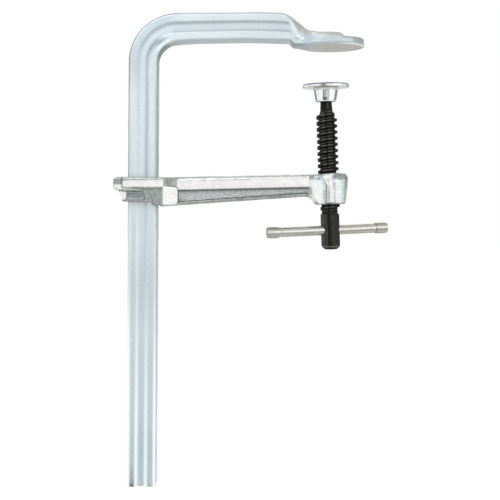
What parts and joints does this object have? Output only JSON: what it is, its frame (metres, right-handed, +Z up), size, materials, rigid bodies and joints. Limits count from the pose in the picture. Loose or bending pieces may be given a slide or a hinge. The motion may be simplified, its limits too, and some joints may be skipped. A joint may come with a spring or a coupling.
{
  "type": "bar clamp",
  "caption": "All-steel forged bar clamp: a bent rail with a flat anvil, a sliding arm, and a screw spindle with a swivel pressure plate and a sliding tommy bar.",
  "frame": {"origin": "middle of the anvil's clamping face", "axes": "+X from the rail towards the spindle and the anvil's tip, +Y into the clamp's depth, +Z up along the rail, from its free end towards the bend"},
  "size_m": [0.2258, 0.0379, 0.3868],
  "materials": {
    "pale_zinc": "satin blue-white zinc plating over drawn steel",
    "bright_zinc": "bright zinc plating over a drop forging",
    "black_oxide": "oiled black oxide",
    "spring_steel": "oiled spring wire",
    "plated_steel": "bright zinc plating",
    "bright_steel": "drawn bright steel"
  },
  "bodies": {
    "fixed_bar": {"fixed_bar": "pale_zinc"},
    "sliding_arm": {"sliding_arm": "bright_zinc"},
    "snap_ring": {"snap_ring": "spring_steel"},
    "spindle": {"spindle": "black_oxide"},
    "pressure_plate": {"pressure_plate": "plated_steel"},
    "tommy": {"tommy_bar": "bright_steel", "tommy_cap_left": "bright_steel", "tommy_cap_right": "bright_steel"}
  },
  "joints": [
    {"name": "arm_slide", "type": "slide", "parent": "fixed_bar", "child": "sliding_arm", "axis": [0, 0, 1], "range_m": [-0.226, 0.019]},
    {"name": "screw_advance", "type": "slide", "parent": "sliding_arm", "child": "snap_ring", "axis": [-0.0384, 0, 0.9993], "range_m": [-0.0571, 0.0071]},
    {"name": "spindle_turn", "type": "hinge", "parent": "snap_ring", "child": "spindle", "pos_m": [0, 0, -0.1164], "axis": [-0.0384, 0, 0.9993], "range_deg": [-4104, 504]},
    {"name": "tommy_slide", "type": "slide", "parent": "spindle", "child": "tommy", "axis": [0.9795, 0.1977, 0.0376], "range_m": [-0.0305, 0.0345]},
    {"name": "plate_tilt", "type": "hinge", "parent": "snap_ring", "child": "pressure_plate", "pos_m": [-0.00298, 0, -0.03886], "axis": [0.9998, 0, 0.0175], "range_deg": [-12.17, 0]}
  ],
  "couplings": [
    {"joint": "screw_advance", "follows": "spindle_turn", "m_per_rad": 0.00079577}
  ]
}
